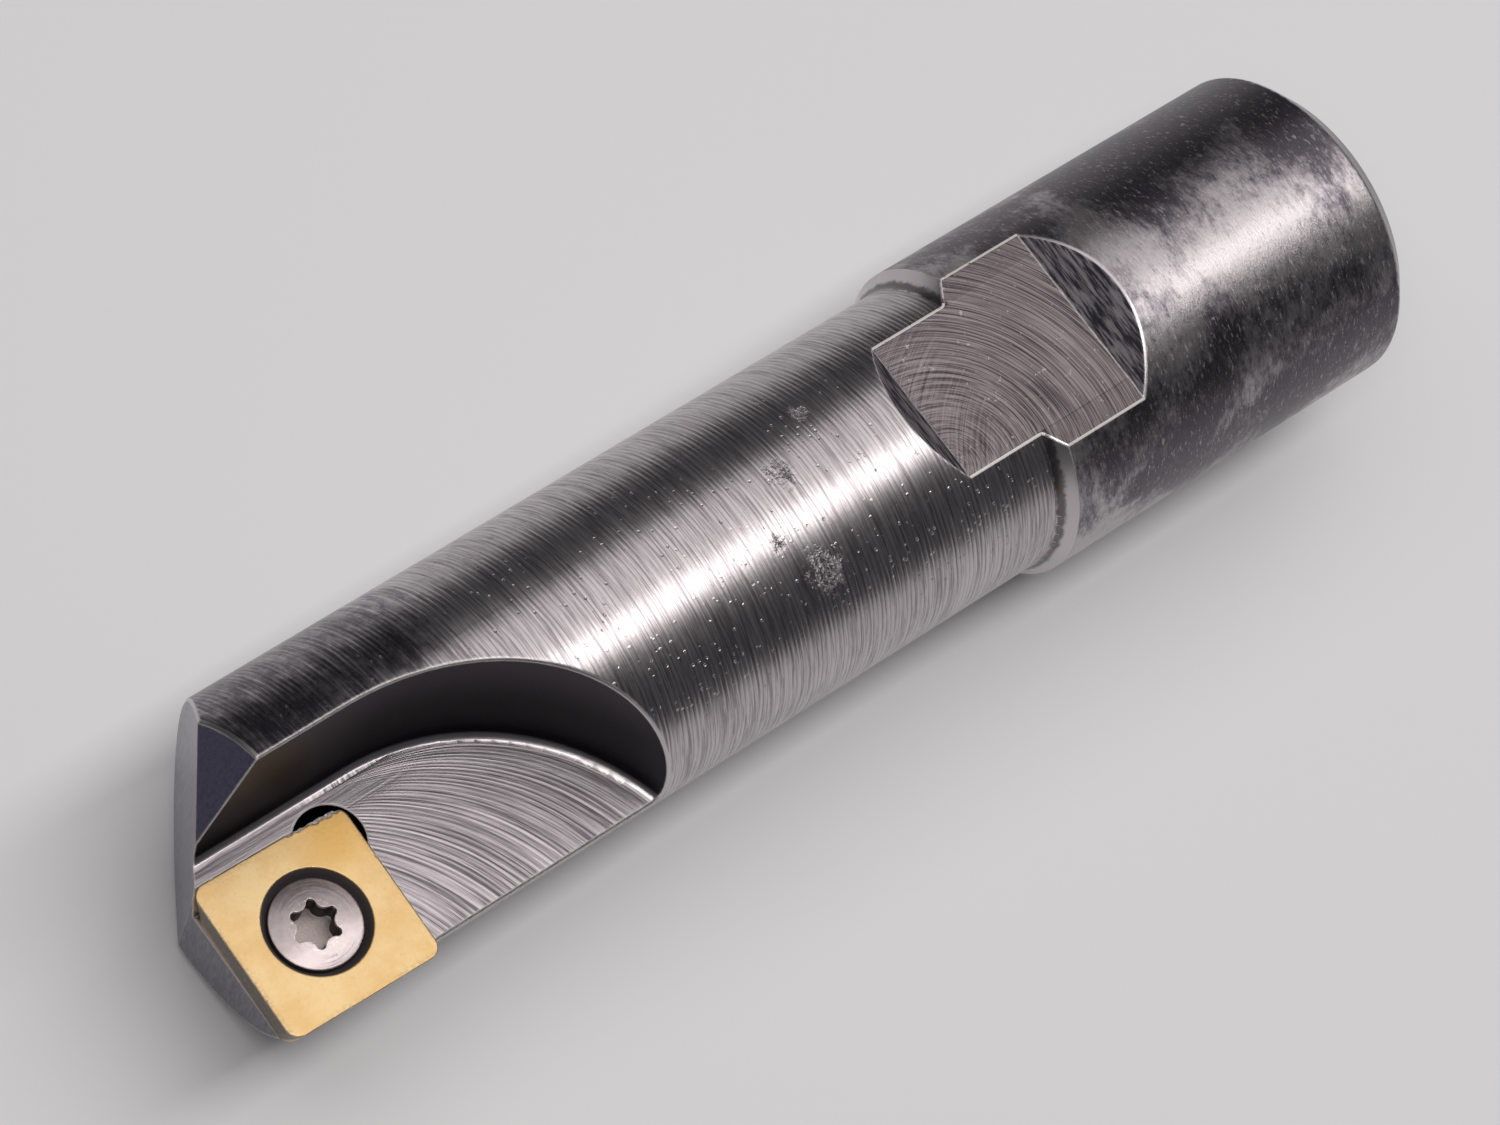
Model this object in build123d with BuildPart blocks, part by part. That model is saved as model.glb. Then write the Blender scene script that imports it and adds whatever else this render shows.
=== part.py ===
from build123d import *
import os
from math import cos, radians, sin, sqrt, tan

os.makedirs("parts", exist_ok=True)

# Indexable end mill with one square insert, in millimetres. The tool's axis is the X axis:
# the cutting end points to -X and the shank to +X. The origin is on the axis, in the plane
# where the full shank diameter starts. +Z is square to the insert's top face, the flute
# floor and the clamping flat. The cutting corner is on the -Y side.

# Shank and neck
shank_radius = 19.05 / 2
neck_radius = 17.52 / 2
shank_length = 26.0
shank_chamfer = 1.25
shoulder_length = 0.8
shoulder_root_radius = 0.4

# Clamping flat, which runs from the neck over the shoulder onto the shank
flat_height = 7.55
flat_front_x = -6.05
flat_rear_x = 5.65
flat_front_ramp = 35.0
flat_rear_ramp = 45.0

# Insert: square, positive, with one central countersunk hole
insert_side = 9.525
insert_thickness = 3.175
insert_relief = 11.0
insert_nose_radius = 0.794
insert_x = -48.31
insert_y = -4.64
insert_turn = -1.1
hole_mouth_radius = 3.0
hole_radius = 2.1
hole_cone_half_angle = 30.0

# Front face of the body: relieved under the insert and bevelled on the far side
front_x = -52.8
front_relief = 5.0
front_bevel = 31.3
nose_bevel_start_z = 1.8
nose_bevel_slope = 22.0
nose_bevel_skew = 5.0

# Chip flute: a flat floor that ends in an arc, a rounded corner and a wall that leans outwards
floor_z = -0.12
flute_end_x = -42.3
flute_floor_radius = 13.65
flute_floor_y = 0.95
flute_corner_radius = 0.7
flute_lean_y = 0.088
flute_lean_x = -0.133
flute_radius_growth = 0.208

# Seat for the insert
seat_gap = 0.03
seat_corner_radius = 0.5
relief_hole_radius = 2.0
relief_hole_inset_x = 1.6
relief_hole_inset_y = 1.4
relief_hole_depth = 5.6
tapped_hole_radius = 1.81

# Screw: six-lobe drive, sixty-degree head, metric thread of 3.5 x 0.6
head_top_z = -0.35
head_radius = 2.52
head_rim = 0.4
head_edge_radius = 0.18
thread_radius = 1.75
thread_root_radius = 1.38
thread_pitch = 0.6
thread_top_z = -2.9
screw_tip_z = -6.1
screw_tip_chamfer = 0.35
thread_crest = 0.08
thread_foot = 0.54
thread_bite = 0.05
drive_across = 2.82
drive_waist = 2.03
drive_lobe_radius = 0.25
drive_depth = 1.4
drive_turn = 8.0
drive_lobes = 6

# Broken edges
flute_edge_break = 0.12
flat_edge_break = 0.08
end_edge_radius = 0.25

flute_rim_start_x = -50.31
same_edge = 0.05

# Where cuts that leave the metal stop, and how far they run past it
sky = 14.0
overcut = 1.0


def turned_plane(x, y, z):
    """A horizontal plane at x, y, z that is turned with the insert."""
    turn = radians(insert_turn)
    return Plane(origin=(x, y, z), x_dir=(cos(turn), sin(turn), 0), z_dir=(0, 0, 1))


def from_axis(point):
    """A point's distance from the tool's axis."""
    return sqrt(point.Y**2 + point.Z**2)


seat_z = -insert_thickness
seat_plane = turned_plane(insert_x, insert_y, seat_z)
top_plane = turned_plane(insert_x, insert_y, 0)
insert_taper = insert_thickness * tan(radians(insert_relief))
screw_axis = Axis((insert_x, insert_y, 0), (0, 0, 1))
screw_section = Plane(origin=(insert_x, insert_y, 0), x_dir=(1, 0, 0), z_dir=(0, -1, 0))

# ---------------------------------------------------------------- cutter body
front_stock_x = front_x - 2 * overcut
flute_axis_y = flute_floor_y - flute_floor_radius
flute_section = Plane(origin=(flute_end_x, flute_axis_y, floor_z), x_dir=(0, 1, 0), z_dir=(1, 0, 0))
flute_wall_radius = flute_floor_radius + flute_corner_radius
wall_foot_z = floor_z + flute_corner_radius

with BuildPart() as cutter_body:
    # Turned blank: neck, shoulder, shank and the chamfered end
    with BuildSketch(Plane.XY) as blank:
        with BuildLine():
            Polyline(
                (front_stock_x, 0),
                (front_stock_x, neck_radius),
                (-shoulder_length, neck_radius),
                (0, shank_radius),
                (shank_length - shank_chamfer, shank_radius),
                (shank_length, shank_radius - shank_chamfer),
                (shank_length, 0),
                close=True,
            )
        make_face()
        root = blank.vertices().sort_by_distance((-shoulder_length, neck_radius))[0]
        fillet(root, shoulder_root_radius)
    revolve(axis=Axis.X)

    # Clamping flat with a ramp at each end
    with BuildSketch(Plane.XZ):
        with BuildLine():
            flat_rise = sky - flat_height
            Polyline(
                (flat_front_x - flat_rise / tan(radians(flat_front_ramp)), sky),
                (flat_front_x, flat_height),
                (flat_rear_x, flat_height),
                (flat_rear_x + flat_rise / tan(radians(flat_rear_ramp)), sky),
                close=True,
            )
        make_face()
    extrude(amount=sky, both=True, mode=Mode.SUBTRACT)

    # Chip flute, floor and rounded corner: straight behind the nose, then round to the outside
    with BuildSketch(flute_section) as flute_foot:
        with BuildLine():
            Line((0, 0), (flute_floor_radius, 0))
            RadiusArc(
                (flute_floor_radius, 0),
                (flute_wall_radius, flute_corner_radius),
                -flute_corner_radius,
            )
            Polyline((flute_wall_radius, flute_corner_radius), (0, flute_corner_radius), (0, 0))
        make_face()
    extrude(amount=front_stock_x - flute_end_x - overcut, mode=Mode.SUBTRACT)
    revolve(
        flute_foot.sketch,
        axis=Axis((flute_end_x, flute_axis_y, 0), (0, 0, -1)),
        revolution_arc=180,
        mode=Mode.SUBTRACT,
    )

    # Chip flute, leaning wall
    for height in (wall_foot_z, sky):
        rise = height - wall_foot_z
        arc_x = flute_end_x + flute_lean_x * rise
        arc_radius = flute_wall_radius + flute_radius_growth * rise
        wall_y = flute_floor_y + flute_corner_radius + flute_lean_y * rise
        arc_y = wall_y - arc_radius
        with BuildSketch(Plane.XY.offset(height)):
            with BuildLine():
                Line((front_stock_x - overcut, wall_y), (arc_x, wall_y))
                CenterArc((arc_x, arc_y), arc_radius, 90, -90)
                Polyline(
                    (arc_x + arc_radius, arc_y),
                    (arc_x + arc_radius, arc_y - overcut),
                    (front_stock_x - overcut, arc_y - overcut),
                    (front_stock_x - overcut, wall_y),
                )
            make_face()
    loft(ruled=True, mode=Mode.SUBTRACT)

    # Front faces: one under the insert, one bevelled back on the far side, and the nose bevel
    front_point = (front_x, 0, 0)
    lean = tan(radians(front_relief))
    split(bisect_by=Plane(origin=front_point, z_dir=(1, 0, lean)), keep=Keep.TOP)
    sweep_back = tan(radians(front_bevel))
    split(bisect_by=Plane(origin=front_point, z_dir=(1, -sweep_back, lean)), keep=Keep.TOP)
    foot_y = flute_floor_y + flute_corner_radius
    nose_point = (front_x + foot_y * sweep_back, foot_y, nose_bevel_start_z)
    nose_normal = (1, -tan(radians(nose_bevel_skew)), -tan(radians(nose_bevel_slope)))
    split(bisect_by=Plane(origin=nose_point, z_dir=nose_normal), keep=Keep.TOP)

    # Seat, open to the front and to the outside
    seat_side = insert_side - 2 * insert_taper + 2 * seat_gap
    seat_length = seat_side + sky
    with BuildSketch(seat_plane):
        with Locations(((seat_side - seat_length) / 2, (seat_side - seat_length) / 2)):
            RectangleRounded(seat_length, seat_length, seat_corner_radius)
    extrude(amount=insert_thickness + overcut, taper=-insert_relief, mode=Mode.SUBTRACT)

    # Relief hole at the seat's inner corner, and the hole for the screw
    relief_x = insert_side / 2 - relief_hole_inset_x
    relief_y = insert_side / 2 - relief_hole_inset_y
    with BuildSketch(top_plane):
        with Locations((relief_x, relief_y)):
            Circle(relief_hole_radius)
    extrude(amount=-relief_hole_depth, mode=Mode.SUBTRACT)
    with BuildSketch(seat_plane):
        Circle(tapped_hole_radius)
    extrude(amount=-sky, mode=Mode.SUBTRACT)

    # Broken edges: the flute's rim, the flat's outline and the shank's end
    flute_rim = cutter_body.edges().filter_by(
        lambda edge: abs(from_axis(edge @ 0.5) - neck_radius) < same_edge
        and (edge @ 0.5).Z > floor_z - same_edge
        and flute_rim_start_x < (edge @ 0.5).X < flute_end_x + flute_floor_radius + overcut
    )
    chamfer(flute_rim, flute_edge_break)
    flat_side_y = sqrt(neck_radius**2 - flat_height**2) - same_edge
    flat_sides = cutter_body.edges().filter_by(
        lambda edge: abs((edge @ 0.5).Y) > flat_side_y
        and abs((edge @ 0.5).Z - flat_height) < same_edge
    )
    ramp_rim = cutter_body.edges().filter_by(GeomType.ELLIPSE).sort_by(Axis.X)[-1:]
    chamfer(flat_sides + ramp_rim, flat_edge_break)
    end_rims = cutter_body.edges().filter_by(GeomType.CIRCLE).sort_by(Axis.X)[-2:]
    fillet(end_rims, end_edge_radius)

# ---------------------------------------------------------------- insert
with BuildPart() as insert:
    with BuildSketch(seat_plane):
        RectangleRounded(
            insert_side - 2 * insert_taper,
            insert_side - 2 * insert_taper,
            insert_nose_radius,
        )
    with BuildSketch(top_plane):
        RectangleRounded(insert_side, insert_side, insert_nose_radius)
    loft(ruled=True)
    hole_cone_depth = (hole_mouth_radius - hole_radius) / tan(radians(hole_cone_half_angle))
    with BuildSketch(screw_section):
        with BuildLine():
            Polyline(
                (0, 0),
                (hole_mouth_radius, 0),
                (hole_radius, -hole_cone_depth),
                (hole_radius, seat_z),
                (0, seat_z),
                close=True,
            )
        make_face()
    revolve(axis=screw_axis, mode=Mode.SUBTRACT)

# ---------------------------------------------------------------- insert screw
lobe_pitch = 360 / drive_lobes
half_pitch = lobe_pitch / 2
lobe_centre = drive_across / 2 - drive_lobe_radius
waist = drive_waist / 2
flank_radius = (
    lobe_centre**2
    + waist**2
    - 2 * lobe_centre * waist * cos(radians(half_pitch))
    - drive_lobe_radius**2
) / (2 * (drive_lobe_radius - waist + lobe_centre * cos(radians(half_pitch))))


def polar(radius, angle):
    """A point at a distance and an angle in degrees from a sketch's origin."""
    return Vector(radius * cos(radians(angle)), radius * sin(radians(angle)))


with BuildPart() as insert_screw:
    # Head and core, turned in one piece
    head_foot_z = head_top_z - head_rim
    neck_z = head_foot_z - (head_radius - thread_radius) / tan(radians(hole_cone_half_angle))
    with BuildSketch(screw_section) as turned:
        with BuildLine():
            Polyline(
                (0, head_top_z),
                (head_radius, head_top_z),
                (head_radius, head_foot_z),
                (thread_radius, neck_z),
                (thread_radius, thread_top_z),
                (thread_root_radius, thread_top_z - (thread_radius - thread_root_radius)),
                (thread_root_radius, screw_tip_z),
                (0, screw_tip_z),
                close=True,
            )
        make_face()
        rim = turned.vertices().sort_by_distance((insert_x + head_radius, insert_y, head_top_z))[0]
        fillet(rim, head_edge_radius)
    revolve(axis=screw_axis)

    # Six-lobe drive: six lobes joined by six flanks that bulge inwards
    with BuildSketch(Plane(origin=(insert_x, insert_y, head_top_z), z_dir=(0, 0, 1))):
        with BuildLine():
            for lobe in range(drive_lobes):
                middle = drive_turn + lobe_pitch * lobe
                centre = polar(lobe_centre, middle)
                step = drive_lobe_radius / (drive_lobe_radius + flank_radius)
                before = centre + (polar(waist + flank_radius, middle - half_pitch) - centre) * step
                after = centre + (polar(waist + flank_radius, middle + half_pitch) - centre) * step
                next_centre = polar(lobe_centre, middle + lobe_pitch)
                flank = polar(waist + flank_radius, middle + half_pitch)
                meets = next_centre + (flank - next_centre) * step
                ThreePointArc(before, polar(drive_across / 2, middle), after)
                ThreePointArc(after, polar(waist, middle + half_pitch), meets)
        make_face()
    extrude(amount=-drive_depth, mode=Mode.SUBTRACT)

    # Right-hand thread on the core, then the tip's chamfer across core and thread
    thread_height = thread_radius - thread_root_radius
    helix_foot_z = screw_tip_z - thread_pitch / 2
    with BuildLine() as thread_path:
        Helix(
            pitch=thread_pitch,
            height=thread_top_z - thread_height - thread_foot / 2 - helix_foot_z,
            radius=thread_root_radius,
            center=(insert_x, insert_y, helix_foot_z),
            direction=(0, 0, 1),
        )
    thread_start = Plane(
        origin=thread_path.line @ 0, x_dir=(1, 0, 0), z_dir=thread_path.line % 0
    )
    with BuildSketch(thread_start):
        with BuildLine():
            Polyline(
                (-thread_bite, -thread_foot / 2),
                (thread_height, -thread_crest / 2),
                (thread_height, thread_crest / 2),
                (-thread_bite, thread_foot / 2),
                close=True,
            )
        make_face()
    sweep(is_frenet=True)
    with BuildSketch(screw_section):
        with BuildLine():
            Polyline(
                (0, screw_tip_z),
                (thread_radius - screw_tip_chamfer, screw_tip_z),
                (thread_radius + thread_pitch, screw_tip_z + screw_tip_chamfer + thread_pitch),
                (thread_radius + thread_pitch, screw_tip_z - thread_pitch),
                (0, screw_tip_z - thread_pitch),
                close=True,
            )
        make_face()
    revolve(axis=screw_axis, mode=Mode.SUBTRACT)

# ---------------------------------------------------------------- write the pieces
cutter_body.part.label = "cutter_body"
insert.part.label = "insert"
insert_screw.part.label = "insert_screw"
export_step(cutter_body.part, "parts/cutter_body.step")
export_step(insert.part, "parts/insert.step")
export_step(insert_screw.part, "parts/insert_screw.step")
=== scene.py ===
from functools import reduce
from math import cos, pi, radians, sin

import bmesh
import bpy
from mathutils import Matrix, Vector, noise


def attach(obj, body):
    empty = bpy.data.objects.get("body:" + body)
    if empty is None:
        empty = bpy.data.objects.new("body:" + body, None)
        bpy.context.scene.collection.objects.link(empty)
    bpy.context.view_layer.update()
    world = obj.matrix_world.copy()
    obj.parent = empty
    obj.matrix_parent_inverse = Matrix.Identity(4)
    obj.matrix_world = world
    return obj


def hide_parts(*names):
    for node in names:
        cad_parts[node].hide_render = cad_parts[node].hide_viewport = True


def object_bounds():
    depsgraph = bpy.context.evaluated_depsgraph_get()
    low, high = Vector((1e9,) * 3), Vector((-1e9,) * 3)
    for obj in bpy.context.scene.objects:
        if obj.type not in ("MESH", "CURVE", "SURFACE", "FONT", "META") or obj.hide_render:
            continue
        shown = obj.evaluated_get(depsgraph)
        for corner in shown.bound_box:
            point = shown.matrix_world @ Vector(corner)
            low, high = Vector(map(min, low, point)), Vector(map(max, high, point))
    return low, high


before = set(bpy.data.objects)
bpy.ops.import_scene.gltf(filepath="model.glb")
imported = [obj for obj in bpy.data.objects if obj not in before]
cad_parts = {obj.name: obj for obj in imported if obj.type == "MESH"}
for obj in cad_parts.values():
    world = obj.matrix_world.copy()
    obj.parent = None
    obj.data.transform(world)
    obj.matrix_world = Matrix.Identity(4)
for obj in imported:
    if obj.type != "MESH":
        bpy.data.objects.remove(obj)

cad_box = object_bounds()
MM = 0.001

# Sizes of the tool in millimetres: the axis is X, the cutting end points to -X
NECK_RADIUS = 8.76
SHANK_END_X = 26.0
FLUTE_FLOOR_Z = -0.12
FLUTE_CENTRE = (-42.3, -12.7)
FLUTE_RADIUS = 13.65
RELIEF_HOLE = (-45.09, -1.34)
RELIEF_HOLE_RADIUS = 2.0
FLAT_Z = 7.55
FLAT_FRONT_X = -6.05
INSERT_MIDDLE = (-48.31, -4.64)
INSERT_TURN = -1.1
INSERT_HALF = 9.525 / 2
HOLE_MOUTH_RADIUS = 3.0
DRIVE_RADIUS = 1.41

# Places along X where one finish gives way to the next: half way up the shoulder, at the
# flute's rear end, and behind the facets of the front
NECK_TO_SHANK_X = -0.3
FLUTE_REAR_X = -28.0
FRONT_FACETS_X = -43.0

# Spacing of the turning lines and of the milling arcs
TURNING_FEED = 0.30
MILLING_FEED = 0.36

# Dents on the neck's upper side: place seen from above, size
DENTS = (
    ((-15.6, 0.7), 1.5),
    ((-16.4, -4.6), 1.9),
    ((-12.4, 3.4), 0.9),
    ((-18.2, -2.2), 0.8),
)


# ---------------------------------------------------------------- shader maths
class Val:
    """A socket whose operators add Math nodes to its finish."""

    def __init__(self, owner, socket):
        self.owner = owner
        self.socket = socket

    def math(self, operation, *others, clamp=False):
        values = dict(enumerate((self, *others)))
        settings = {"operation": operation, "use_clamp": clamp}
        return Val(self.owner, self.owner.node("ShaderNodeMath", settings, values).outputs[0])

    def __add__(self, other):
        return self.math("ADD", other)

    def __sub__(self, other):
        return self.math("SUBTRACT", other)

    def __mul__(self, other):
        return self.math("MULTIPLY", other)

    def __rsub__(self, other):
        return (self * -1.0) + other

    __radd__ = __add__
    __rmul__ = __mul__

    def clamp(self):
        return self.math("ADD", 0.0, clamp=True)

    def abs(self):
        return self.math("ABSOLUTE")

    def sin(self):
        return self.math("SINE")

    def root(self):
        return self.math("SQRT")

    def least(self, other):
        return self.math("MINIMUM", other)

    def most(self, other):
        return self.math("MAXIMUM", other)

    def above(self, start, width):
        """0 up to start, 1 from start + width on, with a smooth rise between."""
        rise = self.owner.node(
            "ShaderNodeMapRange",
            {"interpolation_type": "SMOOTHSTEP"},
            {0: self, 1: start, 2: start + width},
        )
        return Val(self.owner, rise.outputs[0])

    def below(self, end, width):
        return 1 - self.above(end - width, width)

    def band(self, low, high, soft):
        return self.above(low - soft, soft) * self.below(high + soft, soft)


class Finish:
    """A material under construction, with positions in millimetres."""

    def __init__(self, name):
        self.material = bpy.data.materials.new(name)
        self.material.use_nodes = True
        self.tree = self.material.node_tree
        self.tree.nodes.clear()
        coords = self.node("ShaderNodeTexCoord")
        scaled = self.node(
            "ShaderNodeVectorMath",
            {"operation": "SCALE"},
            {0: coords.outputs["Object"], "Scale": 1 / MM},
        )
        self.place = scaled.outputs[0]
        self.x, self.y, self.z = self.split(self.place)
        self.shape = self.node("ShaderNodeNewGeometry")
        self.nx, _, self.nz = self.split(self.shape.outputs["True Normal"])
        self.radius = (self.y * self.y + self.z * self.z).root()
        self.angle = self.y.math("ARCTAN2", self.z)
        self.rounded = None

    def node(self, kind, settings=None, inputs=None):
        """A node of a kind, with its settings, then its values and links by name or number."""
        node = self.tree.nodes.new(kind)
        for name, value in (settings or {}).items():
            setattr(node, name, value)
        for name, value in (inputs or {}).items():
            self.plug(node.inputs[name], value)
        return node

    def plug(self, socket, value):
        """Links a Val or a socket, or sets a plain value."""
        if isinstance(value, Val):
            self.tree.links.new(value.socket, socket)
        elif isinstance(value, bpy.types.NodeSocket):
            self.tree.links.new(value, socket)
        elif socket.type == "RGBA" and len(value) == 3:
            socket.default_value = (*value, 1.0)
        else:
            socket.default_value = value

    def split(self, vector):
        parts = self.node("ShaderNodeSeparateXYZ", {}, {0: vector}).outputs
        return [Val(self, part) for part in parts]

    def point(self, x, y, z):
        return self.node("ShaderNodeCombineXYZ", {}, {0: x, 1: y, 2: z}).outputs[0]

    def wrapped(self, along, around, shift=0.0):
        """A place on the round face, stretched along the axis and round it, with no seam."""
        return self.point(self.x * along + shift, self.y * around, self.z * around)

    def away(self, spot):
        """Distance from a spot, seen from above."""
        along = self.x - spot[0]
        across = self.y - spot[1]
        return (along * along + across * across).root()

    def noise(self, scale, detail=4.0, rough=0.55, at=None, warp=0.0):
        inputs = {
            "Vector": self.place if at is None else at,
            "Scale": scale,
            "Detail": detail,
            "Roughness": rough,
            "Distortion": warp,
        }
        return Val(self, self.node("ShaderNodeTexNoise", {}, inputs).outputs[0])

    def cells(self, scale):
        """Distance to the nearest of scattered points."""
        inputs = {"Vector": self.place, "Scale": scale}
        return Val(self, self.node("ShaderNodeTexVoronoi", {"feature": "F1"}, inputs).outputs[0])

    def edges(self, width):
        """1 on sharp edges and 0 on open faces. The same rounding shades the edges."""
        soft = self.node("ShaderNodeBevel", {"samples": 6}, {"Radius": width * MM})
        self.rounded = soft.outputs[0]
        alike = self.node(
            "ShaderNodeVectorMath",
            {"operation": "DOT_PRODUCT"},
            {0: self.rounded, 1: self.shape.outputs["True Normal"]},
        )
        return 1 - Val(self, alike.outputs["Value"])

    def mix(self, factor, low, high):
        inputs = {0: factor, 6: low, 7: high}
        return self.node("ShaderNodeMix", {"data_type": "RGBA"}, inputs).outputs[2]

    def finish(self, color, roughness, bump, height, metallic=1.0):
        """Joins the colour and the relief, whose height is in millimetres, to the surface."""
        relief = self.node("ShaderNodeBump", {}, {"Distance": height * MM, "Height": bump})
        if self.rounded is not None:
            self.plug(relief.inputs["Normal"], self.rounded)
        inputs = {
            "Base Color": color,
            "Roughness": roughness,
            "Metallic": metallic,
            "Normal": relief.outputs[0],
        }
        surface = self.node("ShaderNodeBsdfPrincipled", {}, inputs)
        self.node("ShaderNodeOutputMaterial", {}, {0: surface.outputs[0]})
        return self.material


# ---------------------------------------------------------------- cutter body
class ToolSteel(Finish):
    """The cutter body's steel: one base, with each face's own marks and wear laid over it."""

    def __init__(self):
        super().__init__("tool_steel")
        self.wear = self.noise(0.22, 5.0, 0.62)
        self.grain = self.noise(3.2, 4.0, 0.6)
        self.patches = self.noise(0.15, 5.0, 0.62, warp=0.5)
        self.mottle = self.noise(1.0, 5.0, 0.75, at=self.wrapped(1.5, 0.8, 7.0))
        self.find_faces()
        self.steel = self.mix(self.wear, (0.44, 0.405, 0.42), (0.64, 0.60, 0.61))
        self.rough = 0.21 + self.wear * 0.10 + self.grain * 0.06
        self.relief = self.grain * 0.15

    def find_faces(self):
        """How far a point belongs to each face, from 0 to 1."""
        outside = self.radius - NECK_RADIUS
        level = self.nz.above(0.9, 0.05)
        round_face = self.nx.abs().below(0.2, 0.1) * outside.above(-0.06, 0.04)
        self.on_shank = round_face * self.x.above(NECK_TO_SHANK_X, 0.2)
        self.on_neck = round_face * self.x.below(NECK_TO_SHANK_X, 0.2)
        self.on_end = self.x.above(SHANK_END_X - 2.5, 0.3) * self.nx.above(0.3, 0.1)

        self.on_flat = (self.z - FLAT_Z).abs().below(0.10, 0.04) * level
        self.on_flat = self.on_flat * self.x.above(FLAT_FRONT_X - 1.0, 0.2)
        sloping = self.nx.abs().band(0.45, 0.85, 0.05) * self.z.above(FLAT_Z - 0.05, 0.1)
        self.on_ramp = sloping * self.x.above(-10.0, 1.0) * self.x.below(10.0, 1.0)

        self.on_front = self.x.below(FRONT_FACETS_X, 0.5) * self.nx.below(-0.55, 0.1)
        self.on_front = self.on_front * outside.below(0.2, 0.1)
        self.on_floor = (self.z - FLUTE_FLOOR_Z).abs().below(0.06, 0.04) * level
        in_flute = self.x.below(FLUTE_REAR_X, 0.5) * outside.below(-0.10, 0.05)
        upright = self.nz.abs().below(0.75, 0.2) * self.z.above(-0.05, 0.3)
        self.on_wall = in_flute * upright * (1 - self.on_front)
        self.in_hole = self.away(RELIEF_HOLE).below(RELIEF_HOLE_RADIUS + 0.04, 0.03)
        self.in_hole = self.in_hole * self.z.below(FLUTE_FLOOR_Z - 0.04, 0.05)

    def cover(self, amount, color):
        self.steel = self.mix(amount, self.steel, color)

    def lay_neck(self):
        """Turning lines, dents, and oxide towards the nose and on the far side, with painted
        shade that darkens the far side.
        """
        feed = self.noise(0.25, 2.0) * 0.18
        lines = ((self.x + feed) * (2 * pi / TURNING_FEED)).sin() * 0.5 + 0.5
        streaks = self.noise(1.0, 4.0, 0.7, at=self.wrapped(4.2, 0.10))
        fine_streaks = self.noise(1.0, 3.0, 0.7, at=self.wrapped(9.0, 0.30, 3.0))
        self.cover(fine_streaks.above(0.46, 0.16) * self.on_neck * 0.62, (0.15, 0.125, 0.14))
        self.cover(lines.below(0.35, 0.3) * self.on_neck * 0.35, (0.16, 0.14, 0.15))

        lumps = self.noise(2.6, 4.0, 0.7)
        dents = reduce(Val.least, (self.away(spot) * (1 / size) for spot, size in DENTS))
        gouge = (dents + self.mottle * 1.8).below(1.65, 0.70) * lumps.above(0.42, 0.16)
        gouge = gouge * self.on_neck
        gouged = self.mix(lumps.above(0.56, 0.10), (0.070, 0.062, 0.068), (0.50, 0.47, 0.46))
        self.cover(gouge * 0.45, gouged)

        # The angle term darkens the nose's upper, far side: painted shade laid over the real
        # oxide mottling and streaks.
        nose_dark = self.x.below(-31.0, 9.0) * self.angle.above(-0.30, 0.7)
        nose_oxide_and_shade = nose_dark * 0.34 + self.mottle * 0.46 + streaks * 0.42 + self.patches * 0.20
        self.cover(nose_oxide_and_shade.above(0.68, 0.28) * self.on_neck * 0.88, (0.050, 0.044, 0.060))
        # Painted shade: the neck's far side is darkened by its angle round the axis, on top of
        # the oxide mottling.
        shaded_far_side = self.angle.above(0.15, 0.5)
        side_oxide_and_shade = shaded_far_side * 0.20 + self.mottle * 0.5 + fine_streaks * 0.35
        self.cover(side_oxide_and_shade.above(0.62, 0.2) * self.on_neck * 0.55, (0.10, 0.088, 0.105))

        turned = (lines * 0.75 + streaks * 0.6 + fine_streaks * 0.8) * self.on_neck
        self.relief = self.relief + turned * 0.7 - gouge * 2.2

    def lay_shank(self):
        """Broad soft oxide patches with painted shade on the far side, the rear top and the low
        sides, and bright and dark flecks that run round the shank.
        """
        speckle = self.noise(1.0, 6.0, 0.80, at=self.wrapped(3.0, 1.1))
        flecks = self.noise(1.0, 4.0, 0.80, at=self.wrapped(7.0, 1.8, 2.0))
        front_bare = (self.x + self.patches * 6.0).below(8.5, 4.0) * 0.20
        # Painted shade: the far side, the rear top and the low sides are darkened by their angle
        # round the axis; the patches and speckle are the real oxide.
        shaded_far_side = self.angle.above(-0.05, 0.75) * self.angle.below(1.6, 0.6)
        shaded_rear_top = shaded_far_side * (self.x + self.patches * 8.0).above(9.0, 8.0) * 0.22
        shaded_low_sides = self.angle.abs().band(0.67, 1.5, 0.25) * 0.10
        oxide_and_shade = self.patches * 1.25 + speckle * 0.65 - 0.18 - front_bare + shaded_rear_top + shaded_low_sides
        scratches = flecks.above(0.58, 0.06) * self.on_shank
        self.cover(self.on_shank * 0.30, (0.26, 0.235, 0.25))
        # Oxide patches and painted shade, laid in one dark colour.
        self.cover(oxide_and_shade.above(0.62, 0.34) * self.on_shank * 0.90, (0.060, 0.052, 0.068))
        self.cover(scratches * 0.60, (0.64, 0.60, 0.61))
        self.cover(flecks.below(0.42, 0.08) * self.on_shank * 0.45, (0.050, 0.045, 0.058))
        self.rough = self.rough + scratches * 0.15 + self.on_shank * 0.06
        self.relief = self.relief + flecks * self.on_shank * 1.2

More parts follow.
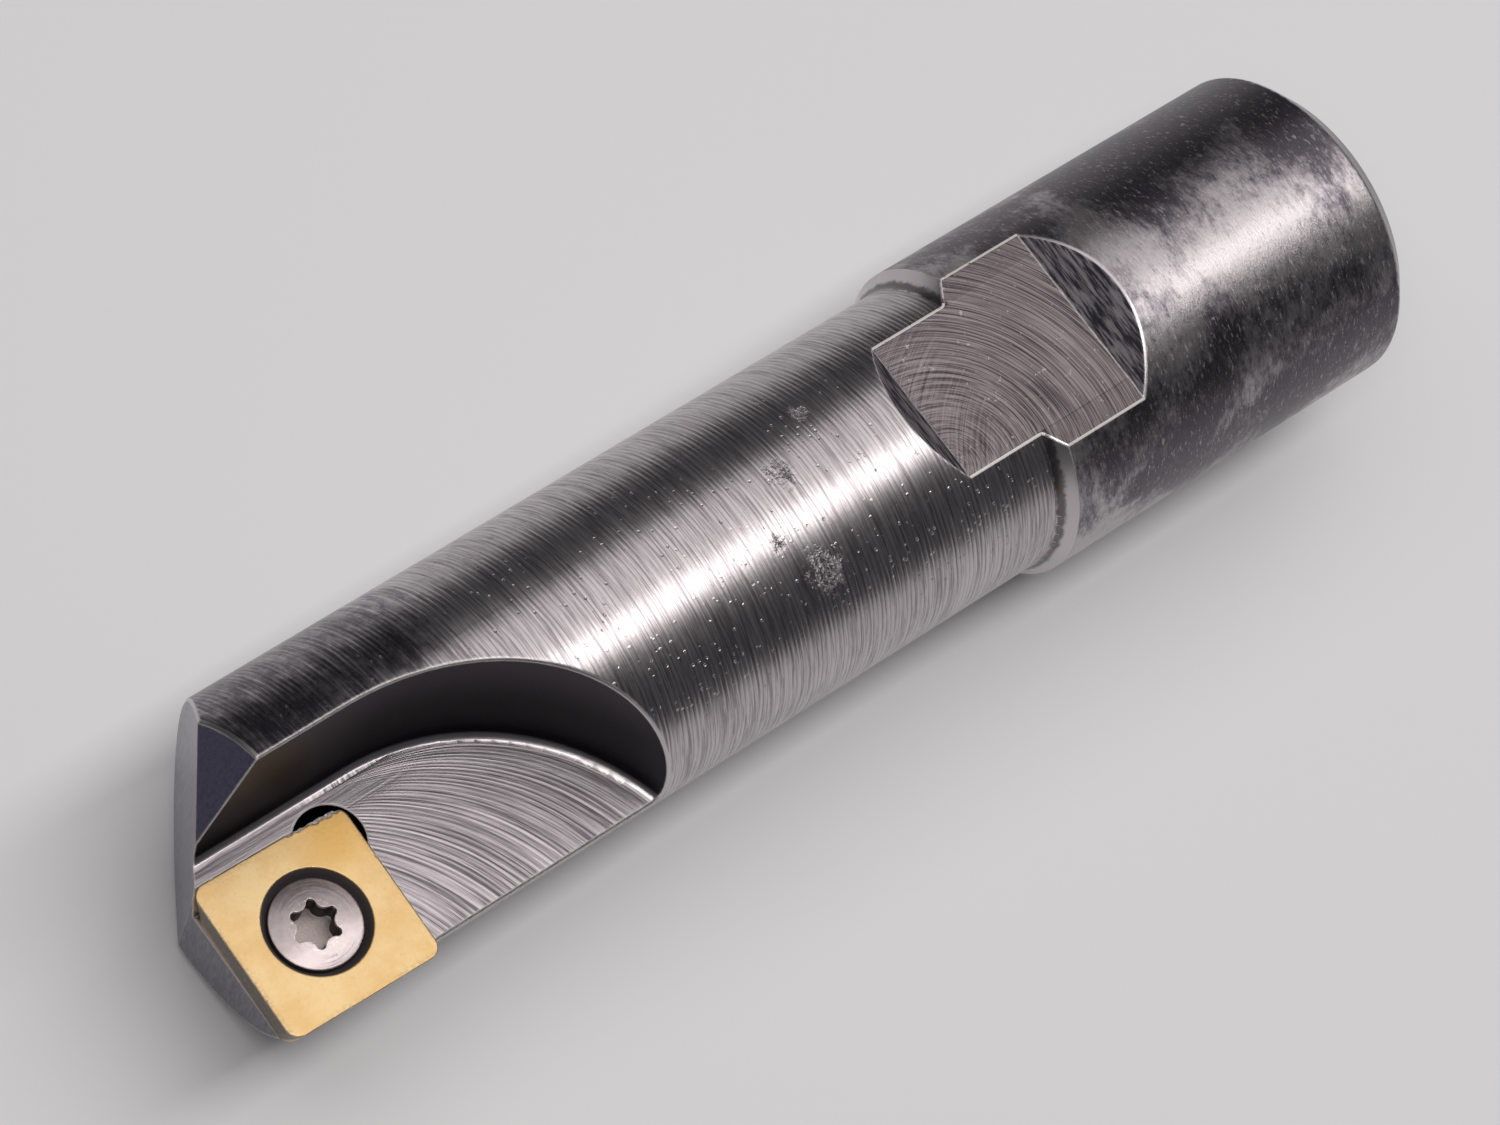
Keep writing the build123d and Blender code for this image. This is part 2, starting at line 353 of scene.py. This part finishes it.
    def lay_flat(self):
        """Grinding arcs that bulge towards the shank's end, and streaks across the ramps."""
        arc_middle = (-6.5, -3.4)
        turn = (self.x - arc_middle[0]).math("ARCTAN2", self.y - arc_middle[1])
        arcs = self.point(self.away(arc_middle) * 9.5, turn * 1.1, 4.0)
        back_arcs = self.point(self.away((3.0, -9.0)) * 7.5, self.y * 0.2, 9.0)
        crossed = self.x.below(-1.5, 3.0) * 0.35
        cut = self.noise(1.0, 4.0, 0.75, at=arcs) * (1 - crossed)
        cut = cut + self.noise(1.0, 3.0, 0.7, at=back_arcs) * crossed
        nicks = self.noise(2.2, 4.0, 0.8).above(0.63, 0.05) * self.on_flat
        ground = self.mix(cut.above(0.36, 0.26), (0.040, 0.033, 0.038), (0.255, 0.220, 0.228))
        self.cover(self.on_flat, ground)
        self.cover(nicks * 0.7, (0.50, 0.45, 0.44))

        streaks = self.noise(1.0, 3.0, 0.6, at=self.point(self.x * 6.0, self.y * 0.5, 0.0))
        streaked = self.mix(streaks.above(0.40, 0.22), (0.07, 0.065, 0.08), (0.46, 0.43, 0.46))
        self.cover(self.on_ramp, streaked)
        self.rough = self.rough + self.on_flat * 0.16 + self.on_ramp * 0.20
        self.relief = self.relief + cut * self.on_flat * 0.9 + streaks * self.on_ramp * 0.6

    def lay_floor(self):
        """Milling marks on the flute's floor: arcs one feed apart, and straight by the wall, with
        painted shade by the wall and a painted highlight along the wall's foot.
        """
        dx = self.x - FLUTE_CENTRE[0]
        dy = self.y - FLUTE_CENTRE[1]
        passes = (FLUTE_RADIUS * FLUTE_RADIUS - dy * dy).most(0.0).root() - dx
        arcs = self.noise(1.0, 4.0, 0.78, at=self.point(passes * 5.5, dy * 0.10, 0.0))
        ridges = ((passes + arcs * 0.25) * (2 * pi / MILLING_FEED)).sin() * 0.5 + 0.5
        straight = self.noise(1.0, 4.0, 0.72, at=self.point(self.x * 0.16, dy * 6.5, 0.0))
        by_wall = dy.above(11.6, 1.2) * passes.above(1.5, 3.0)
        lines = arcs * (1 - by_wall) + straight * by_wall
        milled = self.mix(lines.above(0.36, 0.26), (0.095, 0.083, 0.093), (0.46, 0.42, 0.435))
        # Painted shade: the floor by the wall is darkened, over the straight milling marks.
        self.cover(self.on_floor, self.mix(by_wall * 0.45, milled, (0.085, 0.075, 0.088)))

        # Painted highlight: a pale band along the fillet at the wall's foot.
        past = dx.most(0.0)
        from_wall = (past * past + dy * dy).root() - FLUTE_RADIUS + 0.9
        self.cover(from_wall.abs().below(0.9, 0.8) * self.on_floor * 0.16, (0.62, 0.58, 0.60))
        self.rough = self.rough + self.on_floor * 0.08
        marks = (lines * 1.2 + ridges * (1 - by_wall) * 0.40) * self.on_floor
        self.relief = self.relief + marks * 0.9

    def lay_shoulder(self):
        """A dark line in the shoulder's corner, with rust in it."""
        shoulder_noise = self.noise(1.6, 4.0, 0.7)
        line = (self.x + shoulder_noise * 0.5).band(-0.62, -0.38, 0.20)
        line = line * (self.radius - NECK_RADIUS).above(-0.1, 0.1)
        self.cover(line * 0.75, (0.030, 0.027, 0.034))
        self.cover(line * shoulder_noise.above(0.56, 0.08) * 0.8, (0.20, 0.105, 0.055))

    def lay_wall(self):
        """The flute's wall, in painted shade that darkens towards its foot, and the relief hole,
        painted near black as shade.
        """
        # Painted shade: the wall is near black at its foot and dark grey higher up.
        wall_shade = self.mix(self.z.above(3.5, 5.0), (0.006, 0.005, 0.009), (0.060, 0.052, 0.066))
        self.cover(self.on_wall * 0.96, wall_shade)
        # Painted shade: the relief hole is painted near black.
        self.cover(self.in_hole * 0.96, (0.008, 0.007, 0.010))
        self.rough = self.rough + self.on_wall * 0.22

    def lay_end(self):
        """Faint facing rings on the shank's end."""
        at = self.point(self.radius * 6.0, self.y * 0.06, self.z * 0.06)
        rings = self.noise(1.0, 4.0, 0.7, at=at)
        faced = self.mix(rings.above(0.30, 0.45), (0.13, 0.118, 0.13), (0.30, 0.275, 0.285))
        stained = (self.mottle + self.patches * 0.5).above(0.80, 0.20) * 0.7
        self.cover(self.on_end, self.mix(stained, faced, (0.060, 0.054, 0.066)))
        self.relief = self.relief + rings * self.on_end * 0.35

    def lay_front(self):
        """Fine grinding on the front facets, and a dark bevel at the nose."""
        at = self.point(self.x * 7.0, self.y * 7.0, self.z * 0.35)
        lines = self.noise(1.0, 4.0, 0.7, at=at)
        ground = self.mix(lines.above(0.36, 0.30), (0.085, 0.083, 0.115), (0.19, 0.185, 0.23))
        stained = self.on_front * (self.grain + self.wear * 0.6).above(0.86, 0.10)
        self.cover(self.on_front * 0.85, ground)
        self.cover(stained * 0.5, (0.055, 0.050, 0.062))
        self.cover(self.on_front * self.nz.above(0.25, 0.05) * 0.85, (0.035, 0.035, 0.065))
        self.relief = self.relief + lines * self.on_front * 0.5

    def lay_edges(self):
        """Edges worn pale, with the flat's rim as well; returns how worn a point is."""
        edge = (self.edges(0.22) + self.grain * 0.12 - 0.06).above(0.02, 0.07)
        rim = (self.z - FLAT_Z).abs().below(0.12, 0.02) * self.nz.band(0.925, 0.980, 0.005)
        edge = (edge * (1 - self.in_hole)).most(rim * self.grain.above(0.30, 0.10)).clamp()
        self.cover(edge * 0.85, (0.80, 0.77, 0.74))
        self.rough = self.rough + edge * 0.15
        return edge

    def lay_pits(self):
        """Pits over the neck, and bright nicks low on its near side whose white colour is partly
        a painted glint by the highlight.
        """
        pits = self.cells(1.9).below(0.20, 0.10) * self.noise(0.30, 3.0).above(0.50, 0.10)
        nicks = self.cells(2.3).below(0.26, 0.10) * self.noise(1.1, 3.0).above(0.52, 0.06)
        # The nicks are kept to a band just below the highlight and painted near white: real nicks
        # in the relief, with painted glints in the colour.
        nicks = nicks * self.angle.band(-0.80, -0.22, 0.15) * self.on_neck
        self.cover(nicks * 0.8, (0.90, 0.88, 0.86))
        self.relief = self.relief - pits * self.on_neck * 1.1 + nicks * 0.6


def tool_steel():
    f = ToolSteel()
    f.lay_neck()
    f.lay_shank()
    f.lay_flat()
    f.lay_floor()
    f.lay_shoulder()
    f.lay_wall()
    f.lay_end()
    f.lay_front()
    edge = f.lay_edges()
    f.lay_pits()
    return f.finish(f.steel, f.rough.clamp(), f.relief, 0.020, metallic=1 - edge * 0.55)


# ---------------------------------------------------------------- insert and screw
def coated_carbide():
    """Gold coating, mottled and richer near the broken corner, worn to bare carbide on edges; the
    front flank and the countersink's cone are painted dark as shade.
    """
    f = Finish("coated_carbide")
    cloud = f.noise(0.35, 4.0, 0.6)
    fine = f.noise(5.0, 4.0, 0.65)
    in_x = f.x - INSERT_MIDDLE[0]
    in_y = f.y - INSERT_MIDDLE[1]
    gold = f.mix(cloud.above(0.35, 0.3), (0.60, 0.405, 0.185), (0.66, 0.485, 0.255))

    from_corner_x = in_x - 3.6
    from_corner_y = in_y - 3.4
    from_corner = from_corner_x * from_corner_x + from_corner_y * from_corner_y
    heat = (from_corner + fine * 1.5).root().below(3.2, 2.6)
    gold = f.mix(heat * 0.55, gold, (0.60, 0.335, 0.075))
    gold = f.mix(fine.above(0.52, 0.2) * 0.24, gold, (0.40, 0.26, 0.11))

    edge = (f.edges(0.14) + fine * 0.06 - 0.03).above(0.05, 0.12)
    gold = f.mix(edge * 0.8, gold, (0.30, 0.215, 0.15))
    gold = f.mix(edge * in_x.below(0.35 - INSERT_HALF, 0.1), gold, (0.86, 0.84, 0.86))
    rim_side = (in_x.abs().most(in_y.abs()) + cloud * 0.8).above(INSERT_HALF + 0.05, 0.35)
    gold = f.mix(rim_side * fine.above(0.40, 0.15) * 0.40, gold, (0.34, 0.205, 0.10))

    # Painted shade: the front flank is painted near black, with pale worn specks.
    flank = f.nz.below(0.3, 0.2) * f.z.below(-0.10, 0.15) * in_x.below(0.7 - INSERT_HALF, 0.2)
    worn_and_shaded_flank = f.mix(fine.above(0.58, 0.08), (0.055, 0.045, 0.042), (0.42, 0.36, 0.30))
    gold = f.mix(flank * 0.85, gold, worn_and_shaded_flank)
    # Painted shade: the countersink's cone is painted dark grey.
    in_cone = f.away(INSERT_MIDDLE).below(HOLE_MOUTH_RADIUS + 0.06, 0.05)
    in_cone = in_cone * f.z.below(-0.04, 0.05)
    gold = f.mix(in_cone * 0.93, gold, (0.17, 0.155, 0.18))
    rough = 0.30 + cloud * 0.10 + fine * 0.05 + in_cone * 0.22
    return f.finish(gold, rough.clamp(), fine, 0.006)


def broken_carbide():
    """Fresh grainy break under the coating."""
    f = Finish("broken_carbide")
    grains = f.noise(9.0, 5.0, 0.7)
    grey = f.mix(grains.above(0.38, 0.2), (0.34, 0.29, 0.26), (0.95, 0.92, 0.88))
    return f.finish(grey, 0.38 + grains * 0.15, grains, 0.03, metallic=0.10)


def screw_steel():
    """Turned head that falls off towards its rim, bright at the drive's burr, with painted shade
    on the drive's walls.
    """
    f = Finish("screw_steel")
    out = f.away(INSERT_MIDDLE)
    turn = (f.x - INSERT_MIDDLE[0]).math("ARCTAN2", f.y - INSERT_MIDDLE[1])
    rings = f.noise(1.0, 3.0, 0.6, at=f.point(out * 6.0, turn * 0.8, 0.0))
    spots = f.noise(2.5, 4.0, 0.6)
    fine = f.noise(8.0, 4.0, 0.7)
    steel = f.mix(spots, (0.30, 0.25, 0.255), (0.50, 0.44, 0.44))

    burr = out.band(1.05, DRIVE_RADIUS + 0.01, 0.12) * fine.above(0.56, 0.12)
    steel = f.mix(burr * f.z.above(-0.50, 0.05) * 0.75, steel, (0.80, 0.74, 0.70))
    steel = f.mix(f.edges(0.10).above(0.04, 0.12) * 0.8, steel, (0.78, 0.71, 0.67))
    inside = f.z.below(-0.55, 0.15) * out.below(DRIVE_RADIUS + 0.04, 0.05)
    level = f.nz.above(0.8, 0.1)
    # Painted shade: the drive's walls are painted near black, while its level floor keeps a grey.
    steel = f.mix(inside * (1 - level) * 0.93, steel, (0.02, 0.016, 0.018))
    drive_floor = f.mix(fine, (0.20, 0.165, 0.16), (0.52, 0.45, 0.43))
    steel = f.mix(inside * level, steel, drive_floor)

    rough = 0.26 + rings * 0.12 + spots * 0.06 + inside * 0.15
    dome = out * out * (1 - inside) * -4.6
    return f.finish(steel, rough.clamp(), rings + spots * 0.4 + fine * inside + dome, 0.012)


def own_copy(node, name):
    """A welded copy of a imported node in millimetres, to be worked on and set back to metres."""
    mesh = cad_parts[node].data.copy()
    mesh.materials.clear()
    for stored in ("custom_normal", "sharp_edge", "sharp_face"):
        if stored in mesh.attributes:
            mesh.attributes.remove(mesh.attributes[stored])
    mesh.transform(Matrix.Scale(1 / MM, 4))
    work = bmesh.new()
    work.from_mesh(mesh)
    bmesh.ops.remove_doubles(work, verts=work.verts, dist=0.0005)
    work.to_mesh(mesh)
    work.free()
    piece = bpy.data.objects.new(name, mesh)
    bpy.context.scene.collection.objects.link(piece)
    return piece


def on_insert(along, across, z):
    """A place given in the insert's own turned axes, in millimetres."""
    turn = radians(INSERT_TURN)
    x = INSERT_MIDDLE[0] + along * cos(turn) - across * sin(turn)
    y = INSERT_MIDDLE[1] + along * sin(turn) + across * cos(turn)
    return Vector((x, y, z))


def bite(piece, centre, radius, seed, material):
    """Breaks a rough hollow out of a piece."""
    work = bmesh.new()
    bmesh.ops.create_icosphere(work, subdivisions=3, radius=radius)
    for vert in work.verts:
        rough = noise.noise(vert.co * (2.2 / radius) + Vector((seed * 7.3, 0, 0)))
        vert.co *= 1 + 0.22 * rough
        vert.co += centre
    mesh = bpy.data.meshes.new("bite")
    work.to_mesh(mesh)
    work.free()
    mesh.materials.append(material)
    lump = bpy.data.objects.new("bite", mesh)
    bpy.context.scene.collection.objects.link(lump)
    cut = piece.modifiers.new("cut", "BOOLEAN")
    cut.operation = "DIFFERENCE"
    cut.solver = "EXACT"
    cut.material_mode = "TRANSFER"
    cut.object = lump
    bpy.context.view_layer.update()
    depsgraph = bpy.context.evaluated_depsgraph_get()
    result = bpy.data.meshes.new_from_object(piece.evaluated_get(depsgraph))
    piece.modifiers.clear()
    piece.data = result
    bpy.data.objects.remove(lump)


# Breaks along the inner edge, from the relief hole to the tip: place, distance outside the
# edge, radius. Nicks: place in the insert's own axes, radius.
BREAKS = (
    (1.50, 0.42, 0.66),
    (1.95, 0.30, 0.62),
    (2.45, 0.46, 0.78),
    (2.95, 0.28, 0.66),
    (3.40, 0.44, 0.80),
    (3.95, 0.26, 0.68),
    (4.45, 0.30, 0.74),
)
NICKS = (
    (-INSERT_HALF - 0.07, 3.1, 0.13),
    (-INSERT_HALF - 0.08, 0.6, 0.12),
    (-INSERT_HALF - 0.07, -2.2, 0.14),
    (INSERT_HALF + 0.09, 1.4, 0.15),
    (INSERT_HALF + 0.08, -2.9, 0.13),
    (-1.2, -INSERT_HALF - 0.08, 0.14),
    (-3.4, INSERT_HALF + 0.08, 0.14),
)


def broken_insert():
    """The square insert with its inner rear corner and edge broken, and nicks on the others."""
    piece = own_copy("insert", "worn_insert")
    coating, fresh = coated_carbide(), broken_carbide()
    piece.data.materials.append(coating)
    for seed, (along, outside, radius) in enumerate(BREAKS):
        bite(piece, on_insert(along, INSERT_HALF + outside, 0.36), radius, seed, fresh)
    for seed, (along, across, radius) in enumerate(NICKS):
        bite(piece, on_insert(along, across, 0.02), radius, 20 + seed, fresh)
    piece.data.transform(Matrix.Scale(MM, 4))
    for face in piece.data.polygons:
        face.use_smooth = True
    piece.data.set_sharp_from_angle(angle=radians(32))
    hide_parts("insert")
    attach(piece, "insert")


for name, material in (("cutter_body", tool_steel()), ("insert_screw", screw_steel())):
    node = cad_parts[name]
    node.data.materials.clear()
    node.data.materials.append(material)
broken_insert()


# ---------------------------------------------------------------- floor, light, camera
bpy.ops.mesh.primitive_plane_add(size=3.0, location=(-0.013, 0, Vector(cad_box[0]).z))
floor = bpy.context.object
floor.name = "floor"
pale = bpy.data.materials.new("pale_floor")
pale.use_nodes = True
pale_surface = pale.node_tree.nodes["Principled BSDF"]
pale_surface.inputs["Base Color"].default_value = (0.80, 0.80, 0.81, 1)
pale_surface.inputs["Roughness"].default_value = 0.85
floor.data.materials.append(pale)

camera_data = bpy.data.cameras.new("camera")
camera_data.lens = 127.06
camera_data.sensor_width = 36.0
camera_data.clip_start = 0.01
camera = bpy.data.objects.new("camera", camera_data)
right = Vector((0.7612, -0.5927, 0.2632))
back = Vector((-0.4498, -0.1903, 0.8726)).normalized()
up = back.cross(right).normalized()
right = up.cross(back)
camera_turn = Matrix((right, up, back)).transposed().to_4x4()
camera.matrix_world = Matrix.Translation((-0.14503, -0.05509, 0.25056)) @ camera_turn
bpy.context.scene.collection.objects.link(camera)
bpy.context.scene.camera = camera


def strip_light(name, round_axis, along, distance, size, radiance, color):
    """A soft strip above the tool, at an angle round its axis and an offset along it."""
    data = bpy.data.lights.new(name, "AREA")
    data.shape = "RECTANGLE"
    data.size, data.size_y = size
    data.energy = radiance * pi * size[0] * size[1]
    data.color = color
    light = bpy.data.objects.new(name, data)
    turn = radians(round_axis)
    direction = Vector((0, sin(turn), cos(turn)))
    across = Vector((0, cos(turn), -sin(turn)))
    light_turn = Matrix((Vector((1, 0, 0)), across, direction)).transposed().to_4x4()
    place = direction * distance + Vector((along, 0, 0))
    light.matrix_world = Matrix.Translation(place) @ light_turn
    bpy.context.scene.collection.objects.link(light)


strip_light(
    "key", round_axis=-9, along=0.20, distance=0.55, size=(1.20, 0.17), radiance=4.2,
    color=(1.0, 0.975, 0.96),
)
strip_light(
    "shade", round_axis=22, along=0.20, distance=0.60, size=(1.20, 0.40), radiance=1.05,
    color=(1.0, 0.97, 0.97),
)

world = bpy.data.worlds.new("studio")
world.use_nodes = True
sky = world.node_tree.nodes["Background"]
sky.inputs["Color"].default_value = (0.85, 0.88, 0.95, 1)
sky.inputs["Strength"].default_value = 0.06
bpy.context.scene.world = world
bpy.context.scene.view_settings.view_transform = "Standard"
